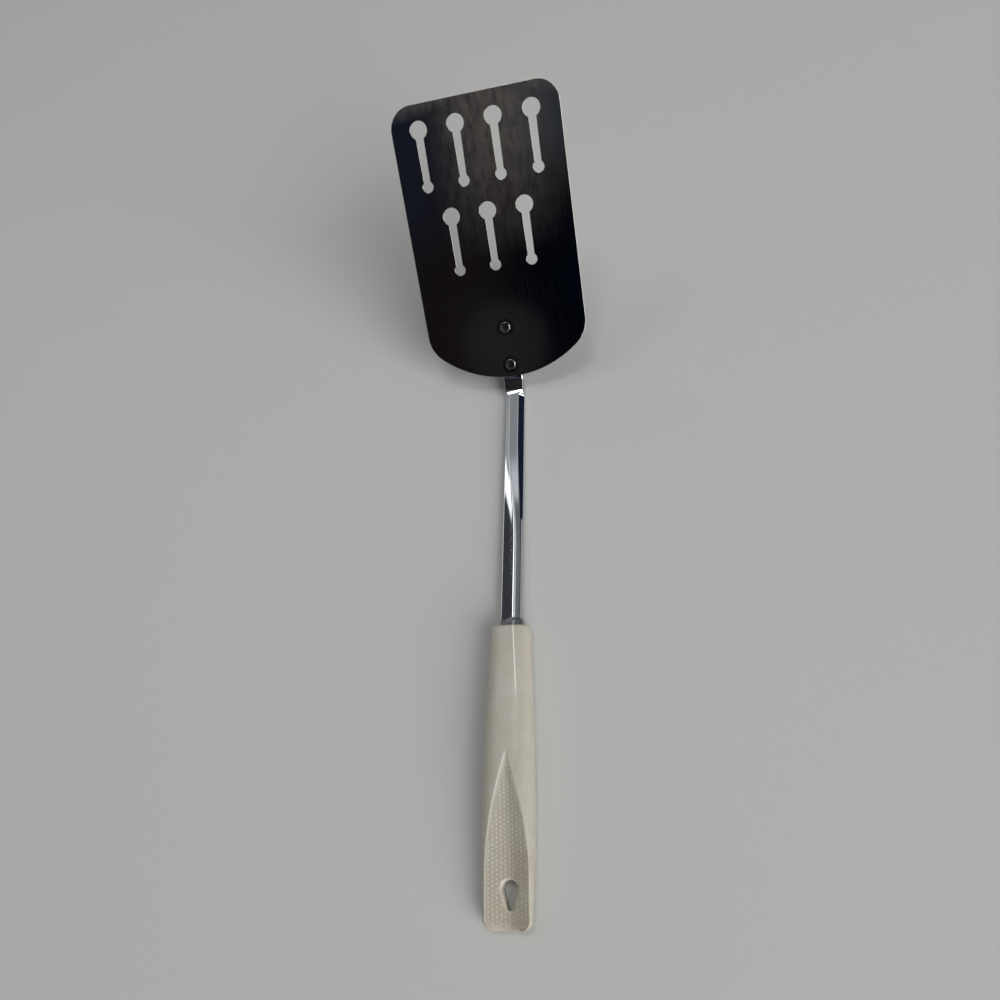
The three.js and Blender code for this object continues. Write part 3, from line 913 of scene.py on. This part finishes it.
# Specks of about 0.4 mm.
specks = node(tree, "TexNoise", {"Vector": place, "Scale": 1 / (0.7 * mm), "Detail": 1})
speck = node(tree, "MapRange", {"Value": specks.outputs["Fac"], 1: 0.63, 2: 0.74, 3: 0, 4: 0.3})
yellowing = node(tree, "MapRange", {"Value": clouds.outputs["Fac"], 1: 0.35, 2: 0.7, 3: 0, 4: 1})
colour = node(tree, "Mix", {
    0: yellowing.outputs[0],
    "A": linear("#b9b6ab"),
    "B": linear("#b3ad9e"),
}, data_type="RGBA")
pale = node(tree, "MapRange", {"Value": mottle.outputs["Fac"], 1: 0.4, 2: 0.75, 3: 0, 4: 0.3})
colour = node(tree, "Mix", {
    0: pale.outputs[0],
    "A": colour.outputs["Result"],
    "B": linear("#c0bdb0"),
}, data_type="RGBA")
butt_end = node(tree, "MapRange", {
    "Value": axes.outputs["Y"], 1: stain_run[0] * mm, 2: stain_run[1] * mm, 3: 0, 4: 0.55,
})
stain = node(tree, "Math", {0: butt_end.outputs[0], 1: yellowing.outputs[0]}, operation="MULTIPLY")
colour = node(tree, "Mix", {
    0: stain.outputs[0],
    "A": colour.outputs["Result"],
    "B": linear("#a69886"),
}, data_type="RGBA")
# Painted shade: the skin is darkened between the beads by the depth stored on each point.
bead_shade_share = node(tree, "Math", {0: bead_shade_attribute.outputs["Fac"], 1: 0.3}, operation="MULTIPLY")
colour = node(tree, "Mix", {
    0: bead_shade_share.outputs[0],
    "A": colour.outputs["Result"],
    "B": linear("#837968"),
}, data_type="RGBA")
colour = node(tree, "Mix", {
    0: speck.outputs[0],
    "A": colour.outputs["Result"],
    "B": linear("#6f6552"),
}, data_type="RGBA")
rub_and_sheen = node(tree, "Attribute", attribute_name="rub_and_sheen")
# Painted highlight: the keel line and the lips are mixed towards near white.
colour = node(tree, "Mix", {
    0: rub_and_sheen.outputs["Fac"],
    "A": colour.outputs["Result"],
    "B": linear("#f0eee6"),
}, data_type="RGBA")
satin = node(tree, "MapRange", {"Value": clouds.outputs["Fac"], 1: 0.3, 2: 0.7, 3: 0.30, 4: 0.42})
roughness = node(tree, "Math", {
    0: rub_and_sheen.outputs["Fac"], 1: -0.12, 2: satin.outputs[0],
}, operation="MULTIPLY_ADD")
# Orange peel of about 0.5 mm.
peel = node(tree, "TexNoise", {"Vector": place, "Scale": 1 / (0.5 * mm), "Detail": 2})
bump = node(tree, "Bump", {"Strength": 0.35, "Distance": 0.06 * mm, "Height": peel.outputs["Fac"]})
surface.inputs["IOR"].default_value = 1.54
surface.inputs["Subsurface Weight"].default_value = 0.5
surface.inputs["Subsurface Radius"].default_value = (1, 0.8, 0.55)
surface.inputs["Subsurface Scale"].default_value = 4 * mm
tree.links.new(colour.outputs["Result"], surface.inputs["Base Color"])
tree.links.new(roughness.outputs[0], surface.inputs["Roughness"])
tree.links.new(bump.outputs[0], surface.inputs["Normal"])
handle.data.materials.append(ivory)
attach(handle, "root")
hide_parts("handle")

# Setting: a pale lacquered table top, a broad soft lamp from the right and one overhead, and a room
# that is dark behind the camera, so that the bright blade mirrors the dark. Its places are in metres.
table_size = 8
table_clearance = 0.0001
bpy.ops.object.select_all(action="DESELECT")
bpy.ops.mesh.primitive_plane_add(size=table_size, location=(0, 0, -table_clearance))
table = bpy.context.object
table.name = "table_top"
lacquer, tree, surface = new_material("pale lacquered board")
place = node(tree, "TexCoord").outputs["Object"]
# Fine texture of about 1 mm in the lacquer.
grain = node(tree, "TexNoise", {"Vector": place, "Scale": 1 / mm, "Detail": 2})
colour = node(tree, "Mix", {
    0: grain.outputs["Fac"],
    "A": linear("#bdbebb"),
    "B": linear("#c1c2bf"),
}, data_type="RGBA")
surface.inputs["Roughness"].default_value = 0.6
tree.links.new(colour.outputs["Result"], surface.inputs["Base Color"])
table.data.materials.append(lacquer)

for name, place, size, power in (
    ("right_lamp", (4.7, -4.15, 3.4), 5.4, 530),
    ("overhead_lamp", (-0.05, 0.4, 2.1), 0.5, 5),
):
    lamp = bpy.data.lights.new(name, "AREA")
    lamp.size = size
    lamp.energy = power
    holder = bpy.data.objects.new(name, lamp)
    holder.location = place
    holder.rotation_euler = (-Vector(place)).to_track_quat("-Z", "Y").to_euler()
    bpy.context.scene.collection.objects.link(holder)

world = bpy.data.worlds.new("room")
bpy.context.scene.world = world
world.use_nodes = True
tree = world.node_tree
towards = node(tree, "TexCoord").outputs["Generated"]
# A plain grey room, with soft round patches laid over it in turn: where each lies, how many degrees from
# its middle it starts to fade and is gone, and its light.
room = node(tree, "RGB")
room.outputs[0].default_value = (0.16, 0.163, 0.166, 1)
seen = room.outputs[0]
for direction, inner, outer, light in (
    ((-0.15, 0.50, 0.85), 25, 45, (0.32, 0.325, 0.33, 1)),
    ((-0.19, -0.69, 0.70), 26, 46, (0.013, 0.0105, 0.0105, 1)),
    ((-0.06, -0.752, 0.656), 5, 9, (0.0004, 0.002, 0.007, 1)),
    ((-0.328, -0.568, 0.755), 3, 9, (0.015, 0.019, 0.034, 1)),
    ((-0.194, -0.766, 0.613), 2.4, 3.6, (0.028, 0.028, 0.029, 1)),
    ((-0.05, -0.55, 0.83), 3, 9, (0.05, 0.06, 0.075, 1)),
    ((0.15, 0.40, 0.90), 5, 20, (0.70, 0.71, 0.72, 1)),
    ((-0.50, 0.35, 0.79), 6, 10, (3.0, 3.0, 3.0, 1)),
    ((0.85, 0.50, 0.13), 14, 24, (0.012, 0.016, 0.035, 1)),
    ((-0.80, 0.36, 0.50), 12, 17, (0.05, 0.052, 0.058, 1)),
    ((-0.87, 0.45, 0.15), 10, 12, (1.7, 1.7, 1.7, 1)),
):
    facing = node(tree, "VectorMath", {
        0: towards, 1: Vector(direction).normalized(),
    }, operation="DOT_PRODUCT")
    share = node(tree, "MapRange", {
        "Value": facing.outputs["Value"],
        1: math.cos(math.radians(outer)),
        2: math.cos(math.radians(inner)),
        3: 0,
        4: 1,
    }, interpolation_type="SMOOTHSTEP")
    patch = node(tree, "Mix", {0: share.outputs[0], "A": seen, "B": light}, data_type="RGBA")
    seen = patch.outputs["Result"]
# Past the table's edge, the camera sees the table's own grey.
ray = node(tree, "LightPath")
seen = node(tree, "Mix", {
    0: ray.outputs["Is Camera Ray"],
    "A": seen,
    "B": linear("#b2b3b0"),
}, data_type="RGBA").outputs["Result"]
tree.links.new(seen, tree.nodes["Background"].inputs["Color"])

# The camera is fitted to the slots as the photo shows them.
camera_place = Vector((0.06938, -0.1390, 0.3003))
lens = bpy.data.cameras.new("photo_camera")
lens.lens = 27.04
lens.sensor_width = 36
lens.clip_start = 0.01
camera = bpy.data.objects.new("photo_camera", lens)
view = Vector((-0.2222, 0.435, -0.8726)).normalized()
right = Vector((0.9711, 0.019, -0.2379))
right = (right - view * right.dot(view)).normalized()
up = right.cross(view)
camera.matrix_world = Matrix((
    (right.x, up.x, -view.x, camera_place.x),
    (right.y, up.y, -view.y, camera_place.y),
    (right.z, up.z, -view.z, camera_place.z),
    (0, 0, 0, 1),
))
bpy.context.scene.collection.objects.link(camera)
bpy.context.scene.camera = camera
bpy.context.scene.view_settings.view_transform = "Standard"
